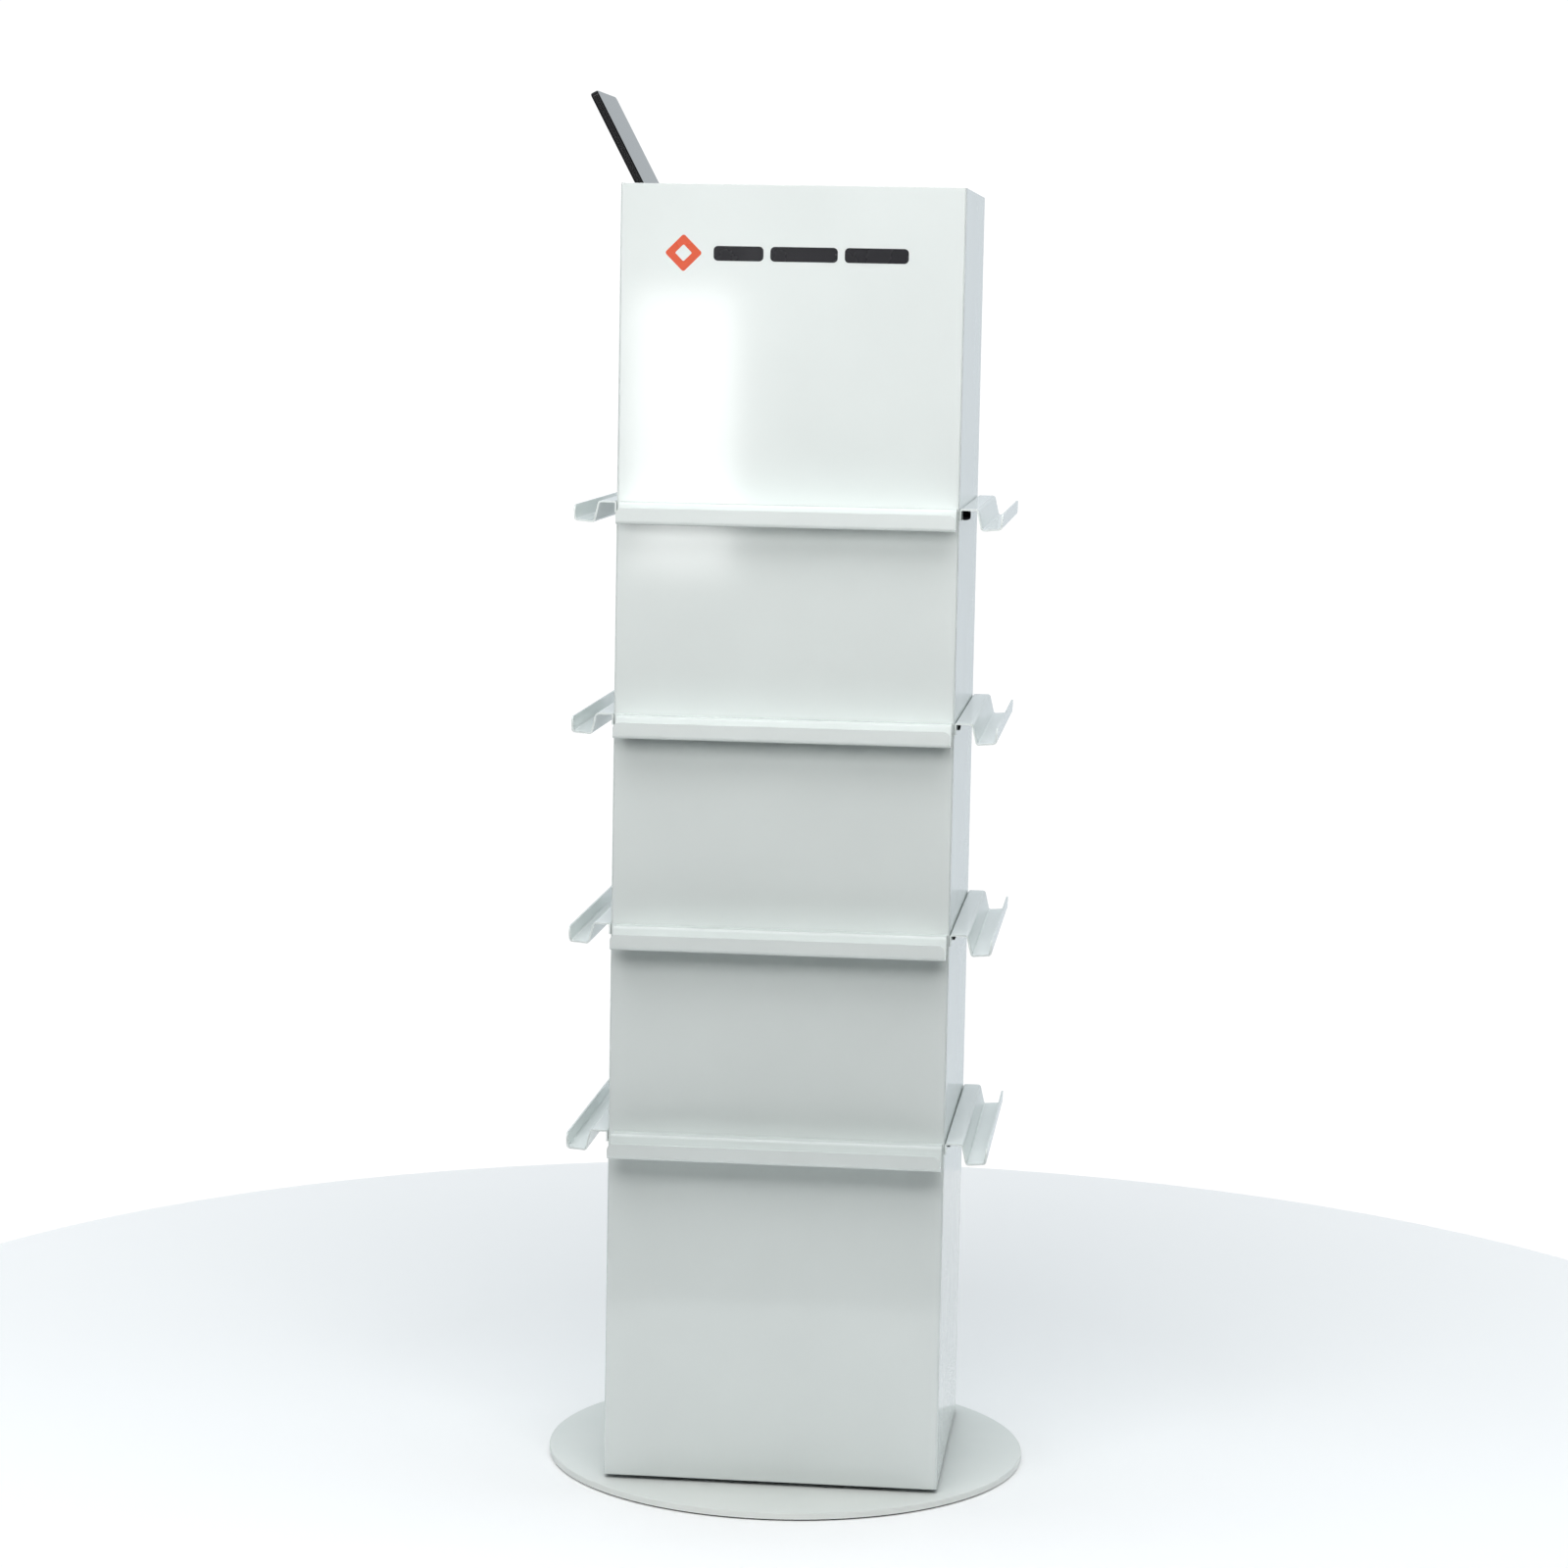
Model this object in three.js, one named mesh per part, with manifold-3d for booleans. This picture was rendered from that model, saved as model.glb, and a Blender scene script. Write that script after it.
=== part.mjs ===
// A free-standing spinner tower for material samples: a square sheet-steel
// column that turns on a ball race over a round floor plate, with four tiers
// of folded gutter shelves on each side and a slim tilting screen in the open
// bin at the top. Millimetres, +Z up, front towards -Y. The origin is the
// middle of the base, on the floor.

import * as THREE from 'three';
import { mergeVertices } from 'three/addons/utils/BufferGeometryUtils.js';
import Module from 'manifold-3d';

const wasm = await Module();
wasm.setup();

// ---- driving dimensions -------------------------------------------------

const FIT_GAP = 0.3; // air left between pieces that are bolted face to face

const BASE_RADIUS = 292;
const BASE_THICKNESS = 8;
const BASE_EDGE_ROUND = 1.5;
const PAD_THICKNESS = 2;
const PAD_SET_BACK = 3;

const TOWER_WIDTH = 400;
const TOWER_DEPTH = 372;
const TOWER_BOTTOM = 15;
const TOWER_TOP = 1548;
const SHEET = 1.5;
const CORNER_ROUND = 3;
const REAR_LAND = 17; // width of the strip at each rear corner that stays flush
const REAR_TONGUE = 22; // width of the joggled tongue behind the rear panel
const SEAM = 1.6;

const BALL_RADIUS = 3;
const BALL_COUNT = 20;
const BALL_SINK = 0.9; // depth of a ball in each groove
const RACE_RADIUS = 135;
const RACE_INNER = 108;
const RACE_OUTER = 152;
const RACE_PLATE = 2.5;
const RACE_CLEARANCE = 0.4;
const CAGE_WIDTH = 11;
const CAGE_THICKNESS = 1.6;
const ACCESS_CIRCLE = 65; // radius on which the pan's access holes lie
const ACCESS_HOLE_RADIUS = 14;

const PAN_SHEET = 2;
const PAN_FLANGE = 25;
const PAN_NOTCH = 9;
const BRACE_HEIGHT = 800;
const BRACE_HOLE_RADIUS = 90;
const BIN_DEPTH = 120;

const TIERS = 4;
const FIRST_LEDGE = 434.5;
const TIER_PITCH = 248.8;
const SHELF_SHEET = 2;
const FLANGE_DROP = 13.5;
const LEDGE_REACH = 21.9;
const CHANNEL_INNER = 26.4;
const CHANNEL_INNER_DROP = 25.6;
const CHANNEL_OUTER = 49.9;
const CHANNEL_OUTER_DROP = 23.8;
const LIP_REACH = 50.7;
const LIP_DROP = 5.4;
const FLANGE_BEND = 1.8; // bend radii are those of the sheet's middle
const LEDGE_BEND = 3;
const CHANNEL_BEND = 3.2;
const LIP_BEND = 3.8;
const LIP_CORNER = 8;
const END_SHELF_LENGTH = 392;
const END_SHELF_SHIFT = 2; // towards the right-hand end, as seen from outside
const SIDE_SHELF_LENGTH = 371;
const SCREW_INSET = 40;
const SCREW_DROP = 7.6;
const SCREW_HOLE_RADIUS = 2.75;

const SCREEN_LENGTH = 243.5;
const SCREEN_WIDTH = 152;
const SCREEN_THICKNESS = 9.7;
const SCREEN_LEAN = THREE.MathUtils.degToRad(28);
const SCREEN_CORNER = 6;
const SHELL_DEPTH = 5.6;
const SHELL_WALL = 1.5;
const SHELL_EDGE_ROUND = 2;
const GLASS_THICKNESS = 1;
const GLASS_MARGIN = 0.5;
const BEZEL_WIDTH = 4;
const BEZEL_INNER_CORNER = 2;
const PANEL_CORNER = 1;
const BATTERY = { width: 116, length: 110, thickness: 3.2, fromTop: 12 };
const BOARD = { width: 128, length: 72, thickness: 1.2, fromHinge: 14 };
const BARREL_RADIUS = 5.9;
const BARREL_LENGTH = 90;
const PIN_RADIUS = 2;
const PIN_CLEARANCE = 0.15;
const PIN_HEAD = 1.6;
const PIN_HEAD_OVERHANG = 1.4;
const PIN_HEAD_CHAMFER = 0.6;
const EAR_THICKNESS = 2.5;
const BRACKET_PLATE = 2;
const BRACKET_HALF_DEPTH = 16;
const BARREL_CLEARANCE = 0.5; // between the barrel and the bracket's plate
const LEAF_LENGTH = 46;

// ---- places worked out from them ----------------------------------------

const BASE_TOP = PAD_THICKNESS + BASE_THICKNESS;
const LOWER_RACE_BOTTOM = BASE_TOP + FIT_GAP;
const RACE_GAP = 2 * (BALL_RADIUS - BALL_SINK);
const BALL_HEIGHT = LOWER_RACE_BOTTOM + RACE_PLATE + RACE_GAP / 2;
const UPPER_RACE_TOP = BALL_HEIGHT + RACE_GAP / 2 + RACE_PLATE;
const PAN_BOTTOM = UPPER_RACE_TOP + FIT_GAP;
const BIN_FLOOR = TOWER_TOP - BIN_DEPTH;
const TONGUE_STEP = SHEET + FIT_GAP;
const INNER_X = TOWER_WIDTH / 2 - SHEET - FIT_GAP;
const INNER_FRONT = -(TOWER_DEPTH / 2 - SHEET - FIT_GAP);
const INNER_REAR = TOWER_DEPTH / 2 - SHEET - TONGUE_STEP - FIT_GAP;
const BRACKET_TOP = BIN_FLOOR + FIT_GAP + BRACKET_PLATE;
const HINGE_HEIGHT = BRACKET_TOP + BARREL_CLEARANCE + BARREL_RADIUS;
const SLAB_START = BARREL_RADIUS + FIT_GAP;

// ---- materials ----------------------------------------------------------

function paint(color, roughness, metalness) {
  return new THREE.MeshStandardMaterial({ color, roughness, metalness });
}

const whitePowderCoat = paint(0xeef1ee, 0.22, 0);
const greyPowderCoat = paint(0xd6dad8, 0.4, 0);
const blackRubber = paint(0x141414, 0.85, 0);
const zincSteel = paint(0xb9bdc2, 0.35, 0.9);
const polishedSteel = paint(0xd0d2d4, 0.15, 1);
const whiteNylon = paint(0xe4e2da, 0.5, 0);
const blackPlastic = paint(0x17171a, 0.35, 0);
const darkGlass = paint(0x0b0c0e, 0.05, 0);
const batteryFoil = paint(0x8d9196, 0.4, 0.6);
const circuitBoard = paint(0x1d5a34, 0.5, 0);

// ---- solids -------------------------------------------------------------

function toSolid(geometry) {
  const bare = geometry.index ? geometry.toNonIndexed() : geometry.clone();
  bare.deleteAttribute('normal');
  bare.deleteAttribute('uv');
  const merged = mergeVertices(bare, 1e-4);
  const mesh = new wasm.Mesh({
    numProp: 3,
    vertProperties: new Float32Array(merged.attributes.position.array),
    triVerts: new Uint32Array(merged.index.array),
  });
  return new wasm.Manifold(mesh);
}

function toGeometry(solid) {
  const mesh = solid.getMesh();
  const geometry = new THREE.BufferGeometry();
  geometry.setAttribute('position', new THREE.BufferAttribute(mesh.vertProperties, 3));
  geometry.setIndex(new THREE.BufferAttribute(mesh.triVerts, 1));
  geometry.computeVertexNormals();
  return geometry;
}

function joined(first, ...others) {
  return others.reduce((sum, geometry) => sum.add(toSolid(geometry)), toSolid(first));
}

function cutFrom(solid, ...cutters) {
  return cutters.reduce((rest, geometry) => rest.subtract(toSolid(geometry)), solid);
}

function box(low, high) {
  const size = high.map((value, axis) => value - low[axis]);
  const centre = high.map((value, axis) => (value + low[axis]) / 2);
  return new THREE.BoxGeometry(...size).translate(...centre);
}

function extruded(shape, depth, curveSegments = 8) {
  return new THREE.ExtrudeGeometry(shape, { depth, bevelEnabled: false, curveSegments });
}

// A cylinder along Z, or turned to lie along X or Y.
function cylinder(radius, length, sides, axis = 'z') {
  const geometry = new THREE.CylinderGeometry(radius, radius, length, sides);
  if (axis === 'z') geometry.rotateX(Math.PI / 2);
  if (axis === 'x') geometry.rotateZ(Math.PI / 2);
  return geometry;
}

// A lathe turned from its own Y axis up to Z.
function revolved(profile, sides) {
  const points = profile.map(([radius, height]) => new THREE.Vector2(radius, height));
  return new THREE.LatheGeometry(points, sides).rotateX(Math.PI / 2);
}

function roundedRectangle(width, height, radius) {
  const x = width / 2 - radius;
  const y = height / 2 - radius;
  const shape = new THREE.Shape();
  shape.absarc(x, y, radius, 0, Math.PI / 2);
  shape.absarc(-x, y, radius, Math.PI / 2, Math.PI);
  shape.absarc(-x, -y, radius, Math.PI, 1.5 * Math.PI);
  shape.absarc(x, -y, radius, 1.5 * Math.PI, 2 * Math.PI);
  return shape;
}

// ---- folded sheet -------------------------------------------------------

// Samples of a folded centreline, each with the sheet's normal there. A corner
// is [x, y, radius] and becomes an arc of that radius.
function foldSamples(corners, steps) {
  const points = corners.map(([x, y]) => new THREE.Vector2(x, y));
  const headings = points.slice(1).map((point, i) => point.clone().sub(points[i]).normalize());
  const samples = [{ at: points[0], heading: headings[0].angle() }];
  for (let i = 1; i < points.length - 1; i += 1) {
    samples.push(...bendSamples(points[i], headings[i - 1], headings[i], corners[i][2], steps));
  }
  samples.push({ at: points.at(-1), heading: headings.at(-1).angle() });
  return samples;
}

function bendSamples(corner, incoming, outgoing, radius, steps) {
  const turn = Math.atan2(incoming.cross(outgoing), incoming.dot(outgoing));
  const side = Math.sign(turn);
  const setback = radius * Math.tan(Math.abs(turn) / 2);
  const start = corner.clone().addScaledVector(incoming, -setback);
  const toCentre = new THREE.Vector2(-incoming.y, incoming.x).multiplyScalar(side * radius);
  const centre = start.clone().add(toCentre);
  return Array.from({ length: steps + 1 }, (_, step) => {
    const angle = (turn * step) / steps;
    const at = start.clone().rotateAround(centre, angle);
    return { at, heading: incoming.angle() + angle };
  });
}

// The closed outline of a sheet of the given thickness round that centreline.
function foldedOutline(corners, thickness, steps = 3) {
  const samples = foldSamples(corners, steps);
  const offset = (side) => samples.map(({ at, heading }) => new THREE.Vector2(
    at.x - side * Math.sin(heading),
    at.y + side * Math.cos(heading),
  ));
  const left = offset(thickness / 2);
  const right = offset(-thickness / 2).reverse();
  return new THREE.Shape([...left, ...right]);
}

// ---- base and turntable -------------------------------------------------

function basePad() {
  const pad = cylinder(BASE_RADIUS - PAD_SET_BACK, PAD_THICKNESS, 72);
  return pad.translate(0, 0, PAD_THICKNESS / 2);
}

function basePlate() {
  const round = BASE_EDGE_ROUND;
  const bottom = PAD_THICKNESS;
  return revolved([
    [0, bottom],
    [BASE_RADIUS - round / 2, bottom],
    [BASE_RADIUS, bottom + round / 2],
    [BASE_RADIUS, BASE_TOP - round],
    [BASE_RADIUS - round * 0.3, BASE_TOP - round * 0.3],
    [BASE_RADIUS - round, BASE_TOP],
    [0, BASE_TOP],
  ], 96);
}

function squareRing(inner, outer, low, high, sides) {
  const corners = [[inner, low], [outer, low], [outer, high], [inner, high], [inner, low]];
  return revolved(corners, sides);
}

// A stamped ring with a round groove for the balls in the face next to them.
function race(low) {
  const ring = squareRing(RACE_INNER, RACE_OUTER, low, low + RACE_PLATE, 48);
  const track = new THREE.TorusGeometry(RACE_RADIUS, BALL_RADIUS + RACE_CLEARANCE, 10, 48);
  return toGeometry(cutFrom(toSolid(ring), track.translate(0, 0, BALL_HEIGHT)));
}

function ballCage() {
  const low = BALL_HEIGHT - CAGE_THICKNESS / 2;
  const inner = RACE_RADIUS - CAGE_WIDTH / 2;
  const ring = squareRing(inner, inner + CAGE_WIDTH, low, low + CAGE_THICKNESS, 60);
  const balls = Array.from({ length: BALL_COUNT }, (_, i) => {
    const ball = new THREE.SphereGeometry(BALL_RADIUS, 10, 6).rotateX(Math.PI / 2);
    const angle = (2 * Math.PI * (i + 0.5)) / BALL_COUNT;
    const x = RACE_RADIUS * Math.cos(angle);
    const y = RACE_RADIUS * Math.sin(angle);
    return ball.translate(x, y, BALL_HEIGHT);
  });
  return toGeometry(joined(ring, ...balls));
}

// ---- tower --------------------------------------------------------------

// Front and both sides in one fold. At the rear each side turns in, stays
// flush for a narrow land, and steps in by one sheet to carry the rear panel.
function towerWrap() {
  const x = TOWER_WIDTH / 2 - SHEET / 2;
  const y = TOWER_DEPTH / 2 - SHEET / 2;
  const bend = CORNER_ROUND - SHEET / 2;
  const landEnd = TOWER_WIDTH / 2 - REAR_LAND;
  const tongue = y - TONGUE_STEP;
  const rearSide = (side) => [
    [side * (landEnd - REAR_TONGUE), tongue],
    [side * (landEnd - TONGUE_STEP), tongue, SHEET],
    [side * landEnd, y, SHEET],
    [side * x, y, bend],
  ];
  const corners = [
    ...rearSide(-1),
    [-x, -y, bend],
    [x, -y, bend],
    ...rearSide(1).reverse(),
  ];
  const outline = foldedOutline(corners, SHEET);
  return extruded(outline, TOWER_TOP - TOWER_BOTTOM).translate(0, 0, TOWER_BOTTOM);
}

function rearPanel() {
  const halfWidth = TOWER_WIDTH / 2 - REAR_LAND - TONGUE_STEP - SEAM;
  return box(
    [-halfWidth, TOWER_DEPTH / 2 - SHEET, TOWER_BOTTOM],
    [halfWidth, TOWER_DEPTH / 2, TOWER_TOP],
  );
}

// The pans' plan: the inside of the tower less a square notch at each corner.
function notchedPlan() {
  const x = INNER_X;
  const front = INNER_FRONT;
  const rear = INNER_REAR;
  const notch = PAN_NOTCH;
  const rightHalf = [
    [x - notch, front],
    [x - notch, front + notch],
    [x, front + notch],
    [x, rear - notch],
    [x - notch, rear - notch],
    [x - notch, rear],
  ];
  const leftHalf = rightHalf.map(([px, py]) => [-px, py]).reverse();
  return new THREE.Shape([...rightHalf, ...leftHalf].map(([px, py]) => new THREE.Vector2(px, py)));
}

// A plate across the tower with a flange folded along each wall. The flanges
// stand up from the plate, or hang from it when hanging is true.
function pan(plateLow, hanging, holes) {
  const low = hanging ? plateLow + PAN_SHEET - PAN_FLANGE : plateLow;
  const block = extruded(notchedPlan(), PAN_FLANGE).translate(0, 0, low);
  const hollowLow = hanging ? low - 1 : plateLow + PAN_SHEET;
  const hollowHigh = hanging ? plateLow : low + PAN_FLANGE + 1;
  const hollow = box(
    [-INNER_X + PAN_SHEET, INNER_FRONT + PAN_SHEET, hollowLow],
    [INNER_X - PAN_SHEET, INNER_REAR - PAN_SHEET, hollowHigh],
  );
  const drills = holes.map(([x, y, radius, sides]) => (
    cylinder(radius, 3 * PAN_SHEET, sides).translate(x, y, plateLow + PAN_SHEET / 2)
  ));
  return toGeometry(cutFrom(toSolid(block), hollow, ...drills));
}

function floorPan() {
  const accessHoles = [0, 1, 2, 3].map((i) => {
    const angle = Math.PI / 4 + (i * Math.PI) / 2;
    const x = ACCESS_CIRCLE * Math.cos(angle);
    const y = ACCESS_CIRCLE * Math.sin(angle);
    return [x, y, ACCESS_HOLE_RADIUS, 16];
  });
  return pan(PAN_BOTTOM, false, accessHoles);
}

function innerBrace() {
  return pan(BRACE_HEIGHT, true, [[0, 0, BRACE_HOLE_RADIUS, 32]]);
}

function topTray() {
  return pan(BIN_FLOOR - PAN_SHEET, true, []);
}

// ---- gutter shelves -----------------------------------------------------

// Section of a shelf: flange against the wall, ledge, sloping web, channel
// floor and outward lip. x is the distance out from the wall, y is up from
// the ledge's top.
function shelfSection() {
  const half = SHELF_SHEET / 2;
  const back = FIT_GAP + half;
  return foldedOutline([
    [back, -FLANGE_DROP],
    [back, -half, FLANGE_BEND],
    [LEDGE_REACH - half, -half, LEDGE_BEND],
    [CHANNEL_INNER, half - CHANNEL_INNER_DROP, CHANNEL_BEND],
    [CHANNEL_OUTER - half, half - CHANNEL_OUTER_DROP, LIP_BEND],
    [LIP_REACH - half, -LIP_DROP],
  ], SHELF_SHEET);
}

// What is taken off each end of the lip to round its corner, in the shelf's
// section frame, where z runs along the shelf. The arc starts a little above
// the lip's edge, so that no sliver is left where it would only touch.
function lipCornerCutter(length, end) {
  const reach = length / 2;
  const over = 2;
  const start = 0.3;
  const arcFoot = -LIP_DROP - LIP_CORNER + start;
  const shape = new THREE.Shape();
  shape.moveTo(reach - LIP_CORNER, -LIP_DROP + over);
  shape.absarc(reach - LIP_CORNER, arcFoot, LIP_CORNER, Math.PI / 2, 0, true);
  shape.lineTo(reach + over, arcFoot);
  shape.lineTo(reach + over, -LIP_DROP + over);
  const low = CHANNEL_OUTER - SHELF_SHEET - over;
  const high = LIP_REACH + over;
  const block = extruded(shape, high - low, 5);
  block.rotateY(end * Math.PI / 2);
  return block.translate(end > 0 ? low : high, 0, 0);
}

function gutterShelf(length) {
  const strip = extruded(shelfSection(), length).translate(0, 0, -length / 2);
  const holes = [-1, 1].map((end) => (
    cylinder(SCREW_HOLE_RADIUS, 4 * SHELF_SHEET, 12, 'x')
      .translate(SHELF_SHEET, -SCREW_DROP, end * (length / 2 - SCREW_INSET))
  ));
  const corners = [lipCornerCutter(length, 1), lipCornerCutter(length, -1)];
  const geometry = toGeometry(cutFrom(toSolid(strip), ...corners, ...holes));
  // Section frame to a front shelf: out becomes -Y, up becomes +Z.
  const basis = new THREE.Matrix4().makeBasis(
    new THREE.Vector3(0, -1, 0),
    new THREE.Vector3(0, 0, 1),
    new THREE.Vector3(-1, 0, 0),
  );
  return geometry.applyMatrix4(basis);
}

// ---- screen and hinge ---------------------------------------------------
// The screen is built standing up: x is out of its glass, z along its length,
// with the hinge axis on y through the origin.

// A slab of the screen's outline drawn in by margin on every side, between two
// distances out from the middle of its thickness.
function screenSlab(margin, radius, low, high) {
  const width = SCREEN_WIDTH - 2 * margin;
  const length = SCREEN_LENGTH - 2 * margin;
  const slab = extruded(roundedRectangle(width, length, radius), high - low, 4);
  slab.rotateX(Math.PI / 2).rotateZ(Math.PI / 2);
  return slab.translate(low, 0, SLAB_START + SCREEN_LENGTH / 2);
}

const REAR_FACE = -SCREEN_THICKNESS / 2;
const SHELL_FRONT = REAR_FACE + SHELL_DEPTH;
const GLASS_FRONT = SCREEN_THICKNESS / 2;
const GLASS_BACK = GLASS_FRONT - GLASS_THICKNESS;
const BEZEL_BACK = SHELL_FRONT + FIT_GAP;
const BEZEL_FRONT = GLASS_BACK - FIT_GAP;

function screenShell() {
  const round = SHELL_EDGE_ROUND;
  const width = SCREEN_WIDTH - 2 * round;
  const length = SCREEN_LENGTH - 2 * round;
  const outline = roundedRectangle(width, length, SCREEN_CORNER - round);
  const soft = new THREE.ExtrudeGeometry(outline, {
    depth: SHELL_DEPTH,
    bevelThickness: round,
    bevelSize: round,
    bevelSegments: 3,
    curveSegments: 4,
  });
  soft.rotateX(Math.PI / 2).rotateZ(Math.PI / 2);
  soft.translate(REAR_FACE + round, 0, SLAB_START + SCREEN_LENGTH / 2);
  const inside = REAR_FACE + SHELL_WALL;
  const cavity = screenSlab(SHELL_WALL, SCREEN_CORNER - SHELL_WALL, inside, GLASS_FRONT);
  const front = screenSlab(-round, round, SHELL_FRONT, GLASS_FRONT + round);
  return toGeometry(cutFrom(toSolid(soft), front, cavity));
}

function screenBezel() {
  const rim = screenSlab(0, SCREEN_CORNER, BEZEL_BACK, BEZEL_FRONT);
  const hole = screenSlab(BEZEL_WIDTH, BEZEL_INNER_CORNER, BEZEL_BACK - 1, BEZEL_FRONT + 1);
  return toGeometry(cutFrom(toSolid(rim), hole));
}

function screenPanel() {
  return screenSlab(BEZEL_WIDTH + FIT_GAP, PANEL_CORNER, BEZEL_BACK, BEZEL_FRONT);
}

function screenGlass() {
  return screenSlab(GLASS_MARGIN, SCREEN_CORNER - GLASS_MARGIN, GLASS_BACK, GLASS_FRONT);
}

function screenBattery() {
  const low = REAR_FACE + SHELL_WALL + FIT_GAP;
  const top = SLAB_START + SCREEN_LENGTH - BATTERY.fromTop;
  return box(
    [low, -BATTERY.width / 2, top - BATTERY.length],
    [low + BATTERY.thickness, BATTERY.width / 2, top],
  );
}

function screenBoard() {
  const low = REAR_FACE + SHELL_WALL + FIT_GAP;
  const bottom = SLAB_START + BOARD.fromHinge;
  return box(
    [low, -BOARD.width / 2, bottom],
    [low + BOARD.thickness, BOARD.width / 2, bottom + BOARD.length],
  );
}

// The rolled barrel and the leaf that is screwed to the back of the screen.
function hingeLeaf() {
  const leafFront = REAR_FACE - FIT_GAP;
  const solid = joined(
    cylinder(BARREL_RADIUS, BARREL_LENGTH, 24, 'y'),
    box([leafFront - SHEET, -BARREL_LENGTH / 2, 0], [leafFront, BARREL_LENGTH / 2, LEAF_LENGTH]),
  );
  const bore = cylinder(PIN_RADIUS + PIN_CLEARANCE, BARREL_LENGTH + 2, 24, 'y');
  return toGeometry(cutFrom(solid, bore));
}

function hingeBracket() {
  const inside = BARREL_LENGTH / 2 + FIT_GAP;
  const outside = inside + EAR_THICKNESS;
  const plateTop = BRACKET_TOP - HINGE_HEIGHT;
  const reach = BRACKET_HALF_DEPTH;
  const plate = box([-reach, -outside, plateTop - BRACKET_PLATE], [reach, outside, plateTop]);
  const ears = [-1, 1].flatMap((side) => {
    const middle = side * (inside + outside) / 2;
    const r = BARREL_RADIUS;
    const low = Math.min(side * inside, side * outside);
    return [
      cylinder(r, EAR_THICKNESS, 24, 'y').translate(0, middle, 0),
      box([-r, low, plateTop - 1], [r, low + EAR_THICKNESS, 0]),
    ];
  });
  const bore = cylinder(PIN_RADIUS + PIN_CLEARANCE, 2 * outside + 2, 24, 'y');
  return toGeometry(cutFrom(joined(plate, ...ears), bore));
}

// A pin with a chamfered head at each end, turned about its own Y axis.
function hingePin() {
  const inside = BARREL_LENGTH / 2 + EAR_THICKNESS + 2 * FIT_GAP;
  const outside = inside + PIN_HEAD;
  const rim = PIN_RADIUS + PIN_HEAD_OVERHANG;
  const upperHalf = [
    [PIN_RADIUS, inside],
    [rim, inside],
    [rim, outside - PIN_HEAD_CHAMFER],
    [rim - PIN_HEAD_CHAMFER, outside],
    [0, outside],
  ];
  const lowerHalf = upperHalf.map(([radius, y]) => [radius, -y]).reverse();
  const profile = [...lowerHalf, ...upperHalf].map(([radius, y]) => new THREE.Vector2(radius, y));
  return new THREE.LatheGeometry(profile, 24);
}

// The hinge stands where the back of the screen just clears the wall's top
// edge when it leans by SCREEN_LEAN.
function hingeX() {
  const rimX = -(TOWER_WIDTH / 2 - SHEET);
  const backFromAxis = SCREEN_THICKNESS / 2 + FIT_GAP;
  const rise = TOWER_TOP - HINGE_HEIGHT;
  const along = (rise + backFromAxis * Math.sin(SCREEN_LEAN)) / Math.cos(SCREEN_LEAN);
  return rimX + backFromAxis * Math.cos(SCREEN_LEAN) + along * Math.sin(SCREEN_LEAN);
}

// ---- assembly -----------------------------------------------------------

const tower = new THREE.Group();

function place(parent, name, geometry, material) {
  const mesh = new THREE.Mesh(geometry, material.clone());
  mesh.name = name;
  parent.add(mesh);
  return mesh;
}

place(tower, 'base_pad', basePad(), blackRubber);
place(tower, 'base_plate', basePlate(), greyPowderCoat);
place(tower, 'turntable_lower_race', race(LOWER_RACE_BOTTOM), zincSteel);
place(tower, 'turntable_ball_cage', ballCage(), whiteNylon);
place(tower, 'turntable_upper_race', race(UPPER_RACE_TOP - RACE_PLATE), zincSteel);

place(tower, 'tower_wrap', towerWrap(), whitePowderCoat);
place(tower, 'rear_panel', rearPanel(), whitePowderCoat);
place(tower, 'floor_pan', floorPan(), zincSteel);
place(tower, 'inner_brace', innerBrace(), zincSteel);
place(tower, 'top_tray', topTray(), whitePowderCoat);

const endShelf = { wall: TOWER_DEPTH / 2, length: END_SHELF_LENGTH, shift: END_SHELF_SHIFT };
const sideShelf = { wall: TOWER_WIDTH / 2, length: SIDE_SHELF_LENGTH, shift: 0 };
const FACES = [
  { name: 'front', turn: 0, ...endShelf },
  { name: 'right', turn: Math.PI / 2, ...sideShelf },
  { name: 'back', turn: Math.PI, ...endShelf },
  { name: 'left', turn: -Math.PI / 2, ...sideShelf },
];

for (const face of FACES) {
  const side = new THREE.Group();
  side.rotation.z = face.turn;
  tower.add(side);
  for (let tier = 1; tier <= TIERS; tier += 1) {
    const ledge = FIRST_LEDGE + (tier - 1) * TIER_PITCH;
    const name = `${face.name}_shelf_${tier}`;
    const shelf = place(side, name, gutterShelf(face.length), whitePowderCoat);
    shelf.position.set(face.shift, -face.wall, ledge);
  }
}

const hinge = new THREE.Group();
hinge.position.set(hingeX(), 0, HINGE_HEIGHT);
tower.add(hinge);
place(hinge, 'hinge_bracket', hingeBracket(), zincSteel);
place(hinge, 'hinge_pin', hingePin(), polishedSteel);

const screen = new THREE.Group();
screen.rotation.y = -SCREEN_LEAN;
hinge.add(screen);
place(screen, 'hinge_leaf', hingeLeaf(), zincSteel);
place(screen, 'screen_shell', screenShell(), blackPlastic);
place(screen, 'screen_battery', screenBattery(), batteryFoil);
place(screen, 'screen_board', screenBoard(), circuitBoard);
place(screen, 'screen_panel', screenPanel(), blackPlastic);
place(screen, 'screen_bezel', screenBezel(), blackPlastic);
place(screen, 'screen_glass', screenGlass(), darkGlass);

export default tower;
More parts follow.
